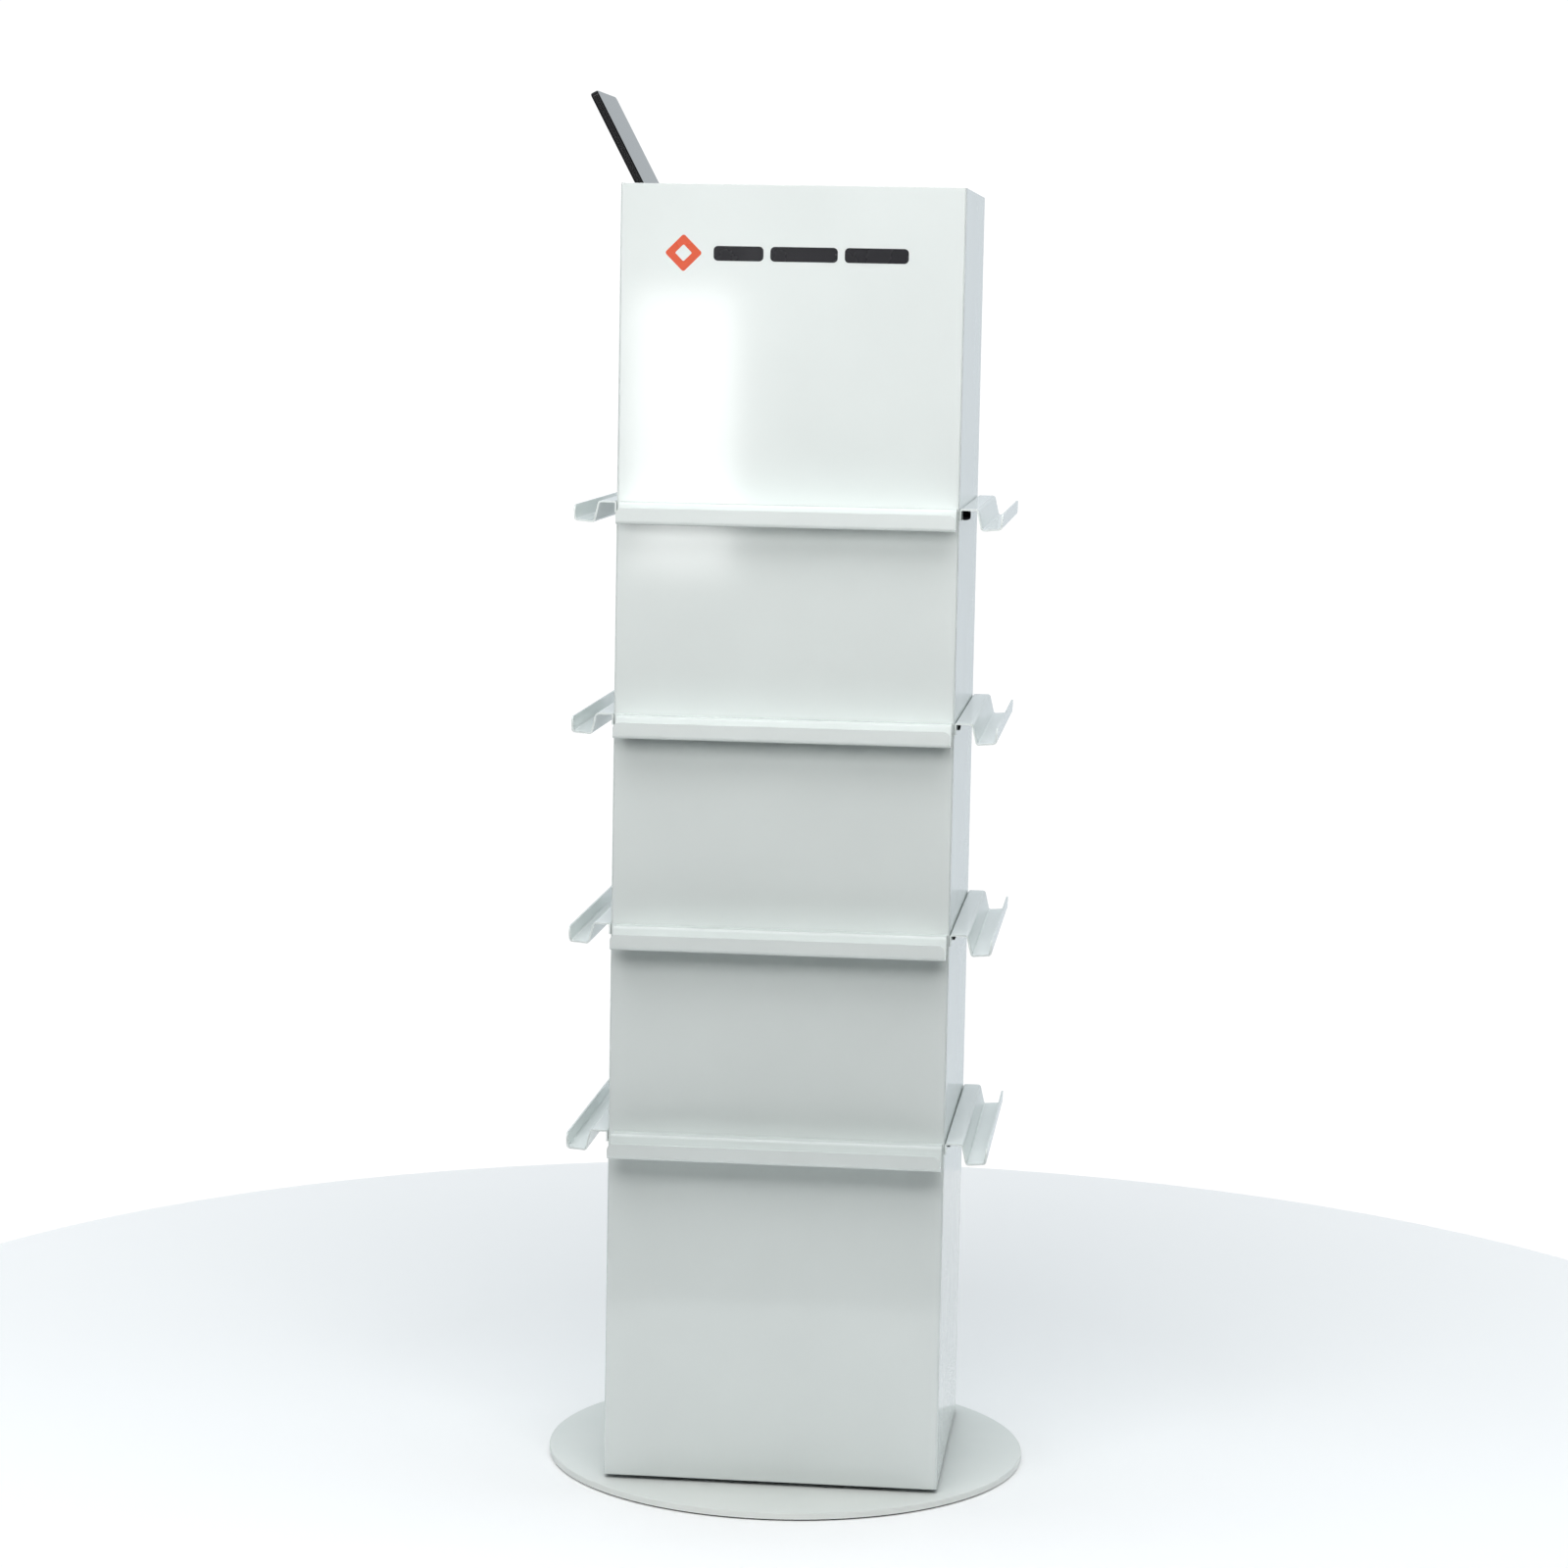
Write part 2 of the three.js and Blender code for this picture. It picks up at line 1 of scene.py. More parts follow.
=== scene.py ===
# %% [markdown]
# # A spinner tower for material samples
#
# The object is a square column of folded sheet steel, powder-coated gloss white. It turns on a ball
# race over a round steel floor plate. Folded gutter shelves run along every side, and a slim screen
# leans out of the open bin at the top. This lesson takes the working CAD model as a fixed frame and
# makes the surfaces that the eye sees: smooth bends, soft sheet edges, screws, paint and light.

# %% Load the frame
import math

import bmesh
import bpy
from mathutils import Matrix, Vector


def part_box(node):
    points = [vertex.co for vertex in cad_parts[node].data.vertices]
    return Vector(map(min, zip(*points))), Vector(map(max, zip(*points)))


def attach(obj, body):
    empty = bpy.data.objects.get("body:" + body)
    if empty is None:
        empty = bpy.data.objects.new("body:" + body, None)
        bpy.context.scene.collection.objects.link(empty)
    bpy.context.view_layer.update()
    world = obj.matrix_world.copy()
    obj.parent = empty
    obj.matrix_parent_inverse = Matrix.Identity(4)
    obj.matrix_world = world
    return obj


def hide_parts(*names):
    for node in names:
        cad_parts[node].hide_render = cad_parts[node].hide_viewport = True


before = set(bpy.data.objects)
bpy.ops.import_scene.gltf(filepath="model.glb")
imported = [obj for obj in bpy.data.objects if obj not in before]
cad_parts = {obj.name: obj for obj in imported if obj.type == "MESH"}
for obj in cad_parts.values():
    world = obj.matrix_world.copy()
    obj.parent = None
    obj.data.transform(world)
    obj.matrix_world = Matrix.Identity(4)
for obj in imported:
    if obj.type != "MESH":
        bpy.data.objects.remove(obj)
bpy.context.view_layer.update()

MM = 0.001

# %% [markdown]
# ## The camera
#
# The camera stands 4.8 m away at chest height, a little to the right of the front face, with a long
# lens, so the column's edges stay almost parallel. It is set first, because every later choice is
# judged through it.

# %% Set the camera
CAMERA_PLACE = Vector((0.47778, -4.77796, 1.40269))
CAMERA_PAN = -0.1032  # radians to the right of +Y
CAMERA_TILT = 0.1181  # radians downwards
CAMERA_ROLL = 0.0187
CAMERA_LENS = 91.23
SENSOR_WIDTH = 36


def make_camera():
    pan, tilt = CAMERA_PAN, CAMERA_TILT
    forward = Vector((math.sin(pan) * math.cos(tilt), math.cos(pan) * math.cos(tilt), -math.sin(tilt)))
    level = Vector((math.cos(pan), -math.sin(pan), 0))
    upright = level.cross(forward)
    right = math.cos(CAMERA_ROLL) * level + math.sin(CAMERA_ROLL) * upright
    up = math.cos(CAMERA_ROLL) * upright - math.sin(CAMERA_ROLL) * level
    camera = bpy.data.objects.new("camera", bpy.data.cameras.new("camera"))
    turn = Matrix((right, up, -forward)).transposed()
    camera.matrix_world = Matrix.Translation(CAMERA_PLACE) @ turn.to_4x4()
    camera.data.lens = CAMERA_LENS
    camera.data.sensor_width = SENSOR_WIDTH
    bpy.context.collection.objects.link(camera)
    bpy.context.scene.camera = camera
    return camera


make_camera()
print("camera at", tuple(round(v, 3) for v in CAMERA_PLACE))

# %% [markdown]
# ## Reading sizes from the frame
#
# Nothing is measured twice. Each node of the frame gives its box, and the few sizes that a box
# can't give, such as a bend's radius or the sheet's thickness, are named here once.

# %% Sizes from the frame
SHEET = 1.5 * MM
SHELF_SHEET = 2 * MM
GAP = 0.3 * MM

wrap_low, wrap_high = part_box("tower_wrap")
panel_low, panel_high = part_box("rear_panel")
plate_low, plate_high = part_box("base_plate")
HALF_WIDTH = wrap_high.x
HALF_DEPTH = wrap_high.y
TOWER_BOTTOM = wrap_low.z
TOWER_TOP = wrap_high.z
TIERS = 4
LEDGES = [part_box(f"front_shelf_{tier}")[1].z for tier in range(1, TIERS + 1)]
print("tower", round(2 * HALF_WIDTH, 4), "by", round(2 * HALF_DEPTH, 4))
print("ledges at", [round(z, 4) for z in LEDGES])

# %% [markdown]
# ## Small helpers
#
# Colours are written as the hex values that a paint card or a picture editor gives, and one
# function turns them into the linear numbers that a shader reads. Another adds a shader node with
# its settings and its links in one call. Patterns are sized by a real length: the distance from
# one bump of the noise to the next.

# %% Helpers for materials
NOISE_LOW, NOISE_HIGH = 0.3, 0.7  # nearly all of a noise's values lie between these


def linear(hex_colour):
    """An sRGB hex colour as linear red, green, blue and alpha."""
    parts = [int(hex_colour[i:i + 2], 16) / 255 for i in (1, 3, 5)]
    bent = [v / 12.92 if v <= 0.04045 else ((v + 0.055) / 1.055) ** 2.4 for v in parts]
    return (*bent, 1.0)


def add(tree, kind, inputs=None, **settings):
    """Adds one node. inputs maps a socket's name or number to a value or to another node's output."""
    node = tree.nodes.new(kind)
    for name, value in settings.items():
        setattr(node, name, value)
    for key, value in (inputs or {}).items():
        if isinstance(value, bpy.types.NodeSocket):
            tree.links.new(value, node.inputs[key])
        else:
            node.inputs[key].default_value = value
    return node


def new_material(name):
    """An empty material with its shader and its output, and the node tree to add to."""
    material = bpy.data.materials.new(name)
    material.use_nodes = True
    tree = material.node_tree
    tree.nodes.clear()
    shader = add(tree, "ShaderNodeBsdfPrincipled")
    add(tree, "ShaderNodeOutputMaterial", {"Surface": shader.outputs["BSDF"]})
    return material, tree, shader


def object_noise(tree, wavelength, detail=2.0, roughness=0.5):
    """Noise on the object's own coordinates whose bumps are about one wavelength apart, in metres."""
    place = add(tree, "ShaderNodeTexCoord")
    return add(tree, "ShaderNodeTexNoise", {
        "Vector": place.outputs["Object"],
        "Scale": 1 / wavelength,
        "Detail": detail,
        "Roughness": roughness,
    })


def spread(tree, noise, low, high):
    """The noise's middle range stretched to run from low to high."""
    return add(tree, "ShaderNodeMapRange", {
        "Value": noise.outputs[0], "From Min": NOISE_LOW, "From Max": NOISE_HIGH,
        "To Min": low, "To Max": high,
    }).outputs["Result"]


print("mid grey #808080 is", round(linear("#808080")[0], 3), "in linear light")


# %% [markdown]
# ## Finishes
#
# Powder coat is a plastic skin about 0.08 mm thick, melted on in an oven. It flows nearly flat but
# keeps a faint orange peel, a ripple a few millimetres across, which makes the edges of reflections
# wander a little. Thin sheet also has a slow wave of its own from folding and baking, which bends a
# large reflection as a whole. Both are bump here, because neither changes an outline. The gloss
# white has a cool cast, from the slight lack of red in its hex value. The floor plate's satin coat
# is rougher, so it shows no mirror image, only a soft sheen.

# %% Powder coat
TONE_PATCH = 120 * MM  # distance over which the coat's thickness, and so its tone, drifts
COAT_GRAIN = 1.2 * MM
ORANGE_PEEL = 4.5 * MM  # from one ripple of the melted coat to the next
FOLDING_WAVE = 220 * MM  # from one slow wave of the sheet to the next
PLASTIC_IOR = 1.5


def powder_coat(name, colour, shade, roughness, peel, sheet_wave=0.0):
    """Powder-coated steel: a melted plastic skin. peel and sheet_wave are heights in metres."""
    material, tree, shader = new_material(name)
    tone = spread(tree, object_noise(tree, TONE_PATCH), 0.0, 1.0)
    mix = add(tree, "ShaderNodeMix", {0: tone, 6: linear(colour), 7: linear(shade)}, data_type="RGBA")
    tree.links.new(mix.outputs[2], shader.inputs["Base Color"])
    grain = object_noise(tree, COAT_GRAIN, detail=1.0)
    rough = spread(tree, grain, roughness * 0.85, roughness * 1.15)
    tree.links.new(rough, shader.inputs["Roughness"])
    ripple = object_noise(tree, ORANGE_PEEL, detail=1.0)
    bump = add(tree, "ShaderNodeBump", {
        "Height": ripple.outputs[0], "Strength": 1.0, "Distance": peel,
    })
    if sheet_wave:
        slow = object_noise(tree, FOLDING_WAVE, detail=0.0)
        wave = add(tree, "ShaderNodeBump", {
            "Height": slow.outputs[0], "Strength": 1.0, "Distance": sheet_wave,
        })
        tree.links.new(wave.outputs["Normal"], bump.inputs["Normal"])
    tree.links.new(bump.outputs["Normal"], shader.inputs["Normal"])
    shader.inputs["IOR"].default_value = PLASTIC_IOR
    return material


gloss_white = powder_coat("gloss_white_powder_coat", "#E8EEEC", "#E5EBE9", 0.07, 0.004 * MM, 0.03 * MM)
satin_grey = powder_coat("satin_pale_grey_powder_coat", "#EDF0EC", "#E9EDE9", 0.38, 0.02 * MM)
print("paint:", gloss_white.name, satin_grey.name)

# %% [markdown]
# Moulded ABS is matt where the mould was spark-eroded: a fine even grain that spreads the
# highlight. Rubber is darker and rougher still. One function serves both, because the difference
# is only in the grain's size and the roughness.

# %% Plastic, rubber and nylon


def moulded(name, colour, roughness, grain_size, depth, ior=PLASTIC_IOR):
    """A moulded polymer with an even surface grain."""
    material, tree, shader = new_material(name)
    shader.inputs["Base Color"].default_value = linear(colour)
    shader.inputs["IOR"].default_value = ior
    grain = object_noise(tree, grain_size, detail=3.0)
    rough = spread(tree, grain, roughness * 0.85, min(1.0, roughness * 1.15))
    tree.links.new(rough, shader.inputs["Roughness"])
    bump = add(tree, "ShaderNodeBump", {"Height": grain.outputs[0], "Distance": depth})
    tree.links.new(bump.outputs["Normal"], shader.inputs["Normal"])
    return material


black_abs = moulded("black_abs_fine_grain", "#1B1B1D", 0.30, 0.8 * MM, 0.01 * MM)
pad_rubber = moulded("black_rubber_sheet", "#161616", 0.8, 1.5 * MM, 0.08 * MM, ior=1.52)
natural_nylon = moulded("natural_nylon", "#E3E0D6", 0.5, 1 * MM, 0.02 * MM, ior=1.53)
print("polymers:", black_abs.name, pad_rubber.name, natural_nylon.name)

# %% [markdown]
# Zinc plate on sheet steel is bright with a slightly blue passivation and faint rolling lines.
# The screws are black-oxide steel: dark, with a soft oily highlight. Both are metals, so the
# colour sits in the base colour, the metallic value is one and the IOR stays as it is.

# %% Metals
ROLLING_STRETCH = (1.0, 0.06, 1.0)  # rolling lines run along Y


def plated_steel(name, colour, shade, roughness, streak):
    """Steel with a thin bright or dark skin, and fine lines along the rolling direction."""
    material, tree, shader = new_material(name)
    shader.inputs["Metallic"].default_value = 1.0
    place = add(tree, "ShaderNodeTexCoord")
    stretch = add(tree, "ShaderNodeMapping", {
        "Vector": place.outputs["Object"], "Scale": ROLLING_STRETCH,
    })
    lines = add(tree, "ShaderNodeTexNoise", {
        "Vector": stretch.outputs["Vector"], "Scale": 1 / streak, "Detail": 2.0,
    })
    tone = spread(tree, lines, 0.0, 1.0)
    mix = add(tree, "ShaderNodeMix", {0: tone, 6: linear(colour), 7: linear(shade)}, data_type="RGBA")
    tree.links.new(mix.outputs[2], shader.inputs["Base Color"])
    rough = spread(tree, lines, roughness * 0.8, roughness * 1.2)
    tree.links.new(rough, shader.inputs["Roughness"])
    return material


zinc_plate = plated_steel("zinc_plated_steel", "#C3C7CC", "#B4B9C0", 0.34, 1.5 * MM)
ground_steel = plated_steel("ground_steel", "#D2D4D6", "#C6C8CB", 0.18, 0.6 * MM)
black_oxide = plated_steel("black_oxide_steel", "#1A1A1C", "#101012", 0.32, 0.6 * MM)
print("metals:", zinc_plate.name, ground_steel.name, black_oxide.name)

# %% [markdown]
# A switched-off screen is a sheet of polished glass over black. Almost all that is seen of it is
# what it reflects, so the base is nearly black and the roughness nearly nothing. The surfaces
# inside the screen are seen only when it is taken apart, but each still gets its own finish.

# %% Glass, foil, board and vinyl
SMEAR = 30 * MM  # width of the patches where the polish is a little duller


def polished(name, colour, roughness, ior, metallic=0.0):
    """A smooth surface with only a breath of unevenness in its polish."""
    material, tree, shader = new_material(name)
    shader.inputs["Base Color"].default_value = linear(colour)
    shader.inputs["IOR"].default_value = ior
    shader.inputs["Metallic"].default_value = metallic
    smear = object_noise(tree, SMEAR, detail=3.0)
    tree.links.new(spread(tree, smear, roughness * 0.7, roughness * 1.3), shader.inputs["Roughness"])
    return material


cover_glass = polished("black_backed_cover_glass", "#0A0B0D", 0.03, 1.52)
display_module = polished("dark_display_module", "#0E0F12", 0.12, 1.5)
foil_pouch = polished("foil_battery_pouch", "#A9ADB2", 0.35, 1.5, metallic=1.0)
solder_mask = polished("green_solder_mask", "#1E5B35", 0.3, 1.55)
dark_vinyl = polished("dark_grey_cut_vinyl", "#26262A", 0.25, 1.5)
orange_vinyl = polished("orange_cut_vinyl", "#E2542A", 0.25, 1.5)
print("smooth finishes:", cover_glass.name, dark_vinyl.name, orange_vinyl.name)

# %% [markdown]
# ## Folded sheet
#
# Every large piece of this object is one sheet with bends in it. The natural way to make one is the
# way that a press brake does: draw the fold line as a path, with an arc at each bend, sweep it into
# a surface with no thickness, then give it the sheet's thickness and break its sharp edges. The
# path below is the middle of the sheet, so the bends stay true on both faces.

# %% The path of a folded sheet


def bend_points(corner, before, after, radius, steps):
    """Points on the arc that rounds one corner of a path."""
    into = (corner - before).normalized()
    out = (after - corner).normalized()
    turn = math.atan2(into.x * out.y - into.y * out.x, into.dot(out))
    setback = radius * math.tan(abs(turn) / 2)
    start = corner - into * setback
    side = math.copysign(radius, turn)
    centre = start + Vector((-into.y, into.x)) * side
    arm = start - centre
    return [centre + Matrix.Rotation(turn * step / steps, 2) @ arm for step in range(steps + 1)]


def fold_path(corners, steps=8):
    """The middle line of a folded sheet. Each corner is (x, y) or (x, y, bend radius)."""
    points = [Vector(corner[:2]) for corner in corners]
    path = [points[0]]
    for i in range(1, len(points) - 1):
        path += bend_points(points[i], points[i - 1], points[i + 1], corners[i][2], steps)
    return path + [points[-1]]


right_angle = fold_path([(0, 0), (20 * MM, 0, 3 * MM), (20 * MM, 20 * MM)])
print("a path with one right-angle bend has", len(right_angle), "points")


# %% [markdown]
# Sheet metal that has been cut and coated has no sharp edges: the paint draws back from a corner
# and leaves it round. A bevel of under half a millimetre with clean normals gives the thin bright
# line along each edge that makes sheet read as sheet.

# %% From surface to sheet
SHEET_EDGE = 0.35 * MM
FLAT_WEIGHT = 80  # how strongly the large faces decide the normals at their corners


def finish_object(name, mesh, material):
    """Links a mesh as an object at the origin, with one material."""
    piece = bpy.data.objects.new(name, mesh)
    bpy.context.collection.objects.link(piece)
    piece.data.materials.clear()
    piece.data.materials.append(material)
    return piece


def soften(piece, width, segments=3, angle=35):
    """Rounds the sharp edges, then keeps the flats flat with weighted normals."""
    bevel = piece.modifiers.new("edge", "BEVEL")
    bevel.width = width
    bevel.segments = segments
    bevel.limit_method = "ANGLE"
    bevel.angle_limit = math.radians(angle)
    bevel.harden_normals = False
    weighted = piece.modifiers.new("flats", "WEIGHTED_NORMAL")
    weighted.keep_sharp = False
    weighted.weight = FLAT_WEIGHT
    for polygon in piece.data.polygons:
        polygon.use_smooth = True
    return piece


def thicken(piece, thickness):
    """Gives a surface its sheet's thickness, half to each side."""
    solid = piece.modifiers.new("sheet", "SOLIDIFY")
    solid.thickness = thickness
    solid.offset = 0
    solid.use_even_offset = True
    return piece


def swept_sheet(name, path, ends, place, material, thickness=SHEET, edge=SHEET_EDGE):
    """A folded sheet. ends gives, for each path point, where the sheet starts and stops along its
    length, and place turns a path point and a distance along the length into a place in the frame."""
    mesh = bpy.data.meshes.new(name)
    shape = bmesh.new()
    rows = []
    for point, (start, stop) in zip(path, ends):
        rows.append([shape.verts.new(place(point, start)), shape.verts.new(place(point, stop))])
    for near, far in zip(rows, rows[1:]):
        shape.faces.new((near[0], near[1], far[1], far[0]))
    bmesh.ops.recalc_face_normals(shape, faces=shape.faces)
    shape.to_mesh(mesh)
    shape.free()
    piece = finish_object(name, mesh, material)
    thicken(piece, thickness)
    return soften(piece, edge)


print("sheet", SHEET, "m thick, with edges rounded by", SHEET_EDGE, "m")


# %% [markdown]
# ## The tower body
#
# The front and both sides are one sheet with two vertical bends and two more at the back, where it
# turns in and steps down by one sheet thickness to carry the rear panel flush. The bends at the
# front catch a line of light from top to bottom, which is the strongest line in the whole object.

# %% Wrap and rear panel
CORNER_ROUND = 3 * MM
REAR_LAND = 17 * MM
REAR_TONGUE = 22 * MM
STEP = SHEET + GAP


def wrap_corners():
    x, y = HALF_WIDTH - SHEET / 2, HALF_DEPTH - SHEET / 2
    bend = CORNER_ROUND - SHEET / 2
    land_end = HALF_WIDTH - REAR_LAND
    half = [
        (land_end - REAR_TONGUE, y - STEP),
        (land_end - STEP, y - STEP, SHEET),
        (land_end, y, SHEET),
        (x, y, bend),
        (x, -y, bend),
    ]
    mirrored = [(-corner[0], *corner[1:]) for corner in half]
    return mirrored + half[::-1]


def tower_wrap():
    path = fold_path(wrap_corners(), steps=10)
    ends = [(TOWER_BOTTOM, TOWER_TOP)] * len(path)
    wrap = swept_sheet("tower_body", path, ends, lambda p, z: (p.x, p.y, z), gloss_white)
    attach(wrap, "tower")
    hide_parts("tower_wrap")
    return wrap


def rear_panel():
    middle = (panel_low.y + panel_high.y) / 2
    path = [Vector((panel_low.x, middle)), Vector((0, middle)), Vector((panel_high.x, middle))]
    ends = [(TOWER_BOTTOM, TOWER_TOP)] * len(path)
    panel = swept_sheet("rear_service_panel", path, ends, lambda p, z: (p.x, p.y, z), gloss_white)
    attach(panel, "tower")
    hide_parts("rear_panel")
    return panel


tower_wrap()
rear_panel()
print("tower body and rear panel made")

# %% [markdown]
# ## Gutter shelves
#
# One section serves all sixteen: a flange against the wall, a level ledge, a web that leans out, a
# channel floor that rises a little, and a lip that leans outward, where the lower edges of sample
# chips stand. Each end of the lip is cut to a quarter round. On a surface with no thickness that is
# a rule, not a boolean: the higher a point is on the lip, the earlier its row stops.

# %% The shelf's section
FLANGE_DROP = 13.5 * MM
LEDGE_REACH = 21.9 * MM
CHANNEL_INNER = (26.4 * MM, -25.6 * MM)
CHANNEL_OUTER = (49.9 * MM, -23.8 * MM)
LIP_TIP = (50.7 * MM, -5.4 * MM)
FLANGE_BEND, LEDGE_BEND, CHANNEL_BEND, LIP_BEND = 1.8 * MM, 3 * MM, 3.2 * MM, 3.8 * MM
LIP_CORNER = 8 * MM
LIP_STEPS = 12
SHELF_EDGE = 0.6 * MM


def shelf_path():
    half = SHELF_SHEET / 2
    bends = fold_path([
        (GAP + half, -FLANGE_DROP),
        (GAP + half, -half, FLANGE_BEND),
        (LEDGE_REACH - half, -half, LEDGE_BEND),
        (CHANNEL_INNER[0], CHANNEL_INNER[1] + half, CHANNEL_BEND),
        (CHANNEL_OUTER[0] - half, CHANNEL_OUTER[1] + half, LIP_BEND),
        (LIP_TIP[0] - half, LIP_TIP[1]),
    ])
    foot, tip = bends[-2], bends[-1]
    turns = [math.pi / 2 * i / LIP_STEPS for i in range(LIP_STEPS + 1)]
    rise = [LIP_TIP[1] - LIP_CORNER * (1 - math.sin(turn)) for turn in turns]
    share = [(z - foot.y) / (tip.y - foot.y) for z in rise]
    return bends[:-1] + [foot.lerp(tip, s) for s in share]


def shelf_half_length(point, full):
    """How far the shelf reaches from its middle at this point of the section."""
    on_lip = point.x > CHANNEL_OUTER[0] - 2 * SHELF_SHEET
    above = point.y - (LIP_TIP[1] - LIP_CORNER)
    if not on_lip or above <= 0:
        return full
    return full - LIP_CORNER + math.sqrt(max(0, LIP_CORNER ** 2 - above ** 2))


section = shelf_path()
unfolded = sum((b - a).length for a, b in zip(section, section[1:]))
print("the shelf's section has", len(section), "points and unfolds to", round(unfolded, 4), "m")


# %% [markdown]
# The sides differ only in which way is outward, so each side is a pair of directions: out from the
# wall, and along the shelf.

# %% Sixteen shelves
SIDES = {
    "front": (Vector((0, -1, 0)), Vector((1, 0, 0)), HALF_DEPTH),
    "right": (Vector((1, 0, 0)), Vector((0, 1, 0)), HALF_WIDTH),
    "back": (Vector((0, 1, 0)), Vector((-1, 0, 0)), HALF_DEPTH),
    "left": (Vector((-1, 0, 0)), Vector((0, -1, 0)), HALF_WIDTH),
}


def gutter_shelf(side, tier):
    out, along, wall = SIDES[side]
    node = f"{side}_shelf_{tier}"
    low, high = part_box(node)
    full = abs((high - low).dot(along)) / 2
    middle = (low + high).dot(along) / 2
    path = shelf_path()
    reach = [shelf_half_length(p, full) for p in path]
    ends = [(middle - r, middle + r) for r in reach]

    def place(point, distance):
        return out * (wall + point.x) + along * distance + Vector((0, 0, high.z + point.y))

    name = f"{side}_gutter_{tier}"
    shelf = swept_sheet(name, path, ends, place, gloss_white, SHELF_SHEET, SHELF_EDGE)
    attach(shelf, "tower")
    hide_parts(node)
    return shelf


shelves = [gutter_shelf(side, tier) for side in SIDES for tier in range(1, TIERS + 1)]
print(len(shelves), "gutter shelves made")

# %% [markdown]
# ## The floor plate and its pad
#
# A laser-cut steel disc, 8 mm thick, with its top edge eased, on a rubber pad that is set back a
# little so that only a dark line shows. Both are turned shapes: a profile swept round the axis.

# %% Turned pieces
TURNED_STEPS = 192
PLATE_TOP_ROUND = 1.5 * MM
PLATE_UNDER_ROUND = 0.6 * MM
PAD_CHAMFER = 0.3 * MM
TURNED_EDGE = 0.01 * MM
TURNED_EDGE_ANGLE = 80


def turned(name, profile, material, steps=TURNED_STEPS):
    """A closed shape of revolution about the tower's axis. The profile starts and ends on the axis."""
    shape = bmesh.new()
    rings = []
    for radius, height in profile:
        if radius == 0:
            rings.append([shape.verts.new((0, 0, height))])
            continue
        angles = [2 * math.pi * i / steps for i in range(steps)]
        places = [(radius * math.cos(a), radius * math.sin(a), height) for a in angles]
        rings.append([shape.verts.new(place) for place in places])
    for inner, outer in zip(rings, rings[1:]):
        for i in range(steps):
            j = (i + 1) % steps
            below = [inner[i % len(inner)], inner[j % len(inner)]]
            above = [outer[j % len(outer)], outer[i % len(outer)]]
            shape.faces.new(list(dict.fromkeys(below + above)))
    bmesh.ops.recalc_face_normals(shape, faces=shape.faces)
    mesh = bpy.data.meshes.new(name)
    shape.to_mesh(mesh)
    shape.free()
    return finish_object(name, mesh, material)


def rounded_edge(radius, height, round_off, upward, steps=6):
    """Profile points of a quarter round at a disc's rim, from the rim's side to its face."""
    turn = 1 if upward else -1
    return [
        (radius - round_off * (1 - math.cos(a)), height - turn * round_off * (1 - math.sin(a)))
        for a in (math.pi / 2 * i / steps for i in range(steps + 1))
    ]


def floor_plate():
    radius = plate_high.x
    underside = [(0, plate_low.z), (radius / 2, plate_low.z)]
    lower_edge = rounded_edge(radius, plate_low.z, PLATE_UNDER_ROUND, False)[::-1]
    upper_edge = rounded_edge(radius, plate_high.z, PLATE_TOP_ROUND, True)
    face = [(radius / 2, plate_high.z), (0, plate_high.z)]
    plate = turned("floor_plate", underside + lower_edge + upper_edge + face, satin_grey)
    soften(plate, TURNED_EDGE, 1, TURNED_EDGE_ANGLE)
    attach(plate, "base")
    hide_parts("base_plate")
    return plate


def floor_pad():
    low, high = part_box("base_pad")
    radius = high.x
    profile = [
        (0, low.z),
        (radius - PAD_CHAMFER, low.z),
        (radius, low.z + PAD_CHAMFER),
        (radius, high.z),
        (0, high.z),
    ]
    pad = turned("rubber_floor_pad", profile, pad_rubber)
    soften(pad, TURNED_EDGE, 1, TURNED_EDGE_ANGLE)
    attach(pad, "base")
    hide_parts("base_pad")
    return pad


floor_plate()
floor_pad()
print("floor plate radius", round(plate_high.x, 4))

# %% [markdown]
# ## Pieces whose CAD shape is already right
#
# The pans, the hinge, the race and the parts inside the screen keep the shape that they have. Each
# is copied, its loose triangles are merged, flat areas are joined up, and its edges get a small
# round, because even a hidden bracket shows a soft edge when it is lifted into the light.

# %% Eased copies
EASED_EDGE = 0.25 * MM
SAME_POINT = 0.001 * MM


def eased_copy(node, name, body, material, edge=EASED_EDGE, angle=30):
    """A copy of a CAD node with merged faces and eased edges, which stands for the node."""
    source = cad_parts[node]
    mesh = source.data.copy()
    shape = bmesh.new()
    shape.from_mesh(mesh)
    bmesh.ops.remove_doubles(shape, verts=shape.verts, dist=SAME_POINT)
    bmesh.ops.dissolve_limit(shape, angle_limit=math.radians(1), verts=shape.verts, edges=shape.edges)
    shape.to_mesh(mesh)
    shape.free()
    piece = finish_object(name, mesh, material)
    soften(piece, edge, 2, angle)
    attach(piece, body)
    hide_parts(node)
    return piece


